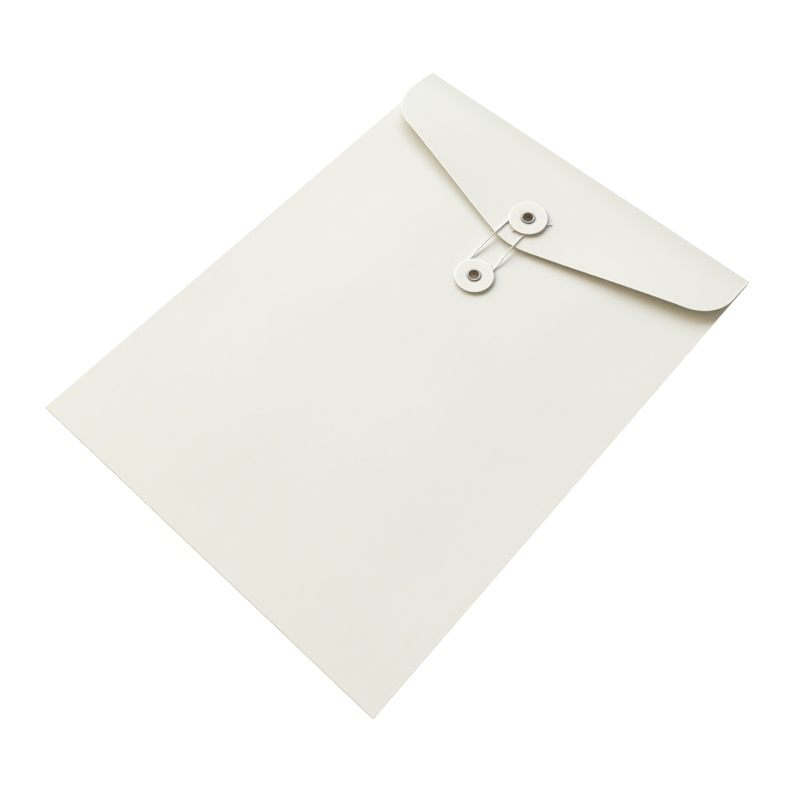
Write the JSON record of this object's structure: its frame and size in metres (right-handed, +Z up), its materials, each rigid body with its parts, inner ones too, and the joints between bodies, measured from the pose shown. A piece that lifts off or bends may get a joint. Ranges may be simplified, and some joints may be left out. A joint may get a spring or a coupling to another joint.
{
  "type": "string tie envelope",
  "caption": "Card document envelope with a pointed folding flap, tied shut by string wound round turning card buttons on metal eyelets.",
  "frame": {"origin": "middle of the envelope's width and length, on the surface that it lies on", "axes": "+X across the envelope, +Y from the bottom edge to the flap's fold, +Z up out of the front panel"},
  "size_m": [0.2286, 0.3048, 0.0073],
  "materials": {
    "card": "smooth uncoated cream card",
    "disc": "smooth white-faced board",
    "eyelet": "nickel-plated, softly worn",
    "string": "waxed twisted cotton"
  },
  "bodies": {
    "pocket": {"rear_panel": "card", "front_panel": "card", "bottom_fold": "card", "left_side_tab": "card", "right_side_tab": "card", "left_side_fold": "card", "right_side_fold": "card", "flap_crease": "card", "lower_eyelet": "eyelet"},
    "flap": {"flap": "card", "upper_eyelet": "eyelet", "string": "string"},
    "upper_button": {"upper_disc": "disc"},
    "lower_button": {"lower_disc": "disc"}
  },
  "joints": [
    {"name": "flap_fold", "type": "hinge", "parent": "pocket", "child": "flap", "pos_m": [0, 0.1507, 0.0017], "axis": [-1, 0, 0], "range_deg": [0, 165], "deforming": ["flap_crease", "string"]},
    {"name": "upper_button_turn", "type": "hinge", "parent": "flap", "child": "upper_button", "pos_m": [-0.0009, 0.1023, 0.00504], "axis": [0, -0.0279, 0.9996], "continuous": true},
    {"name": "lower_button_turn", "type": "hinge", "parent": "pocket", "child": "lower_button", "pos_m": [-0.0004, 0.0547, 0.0019], "axis": [0, 0, 1], "continuous": true}
  ]
}
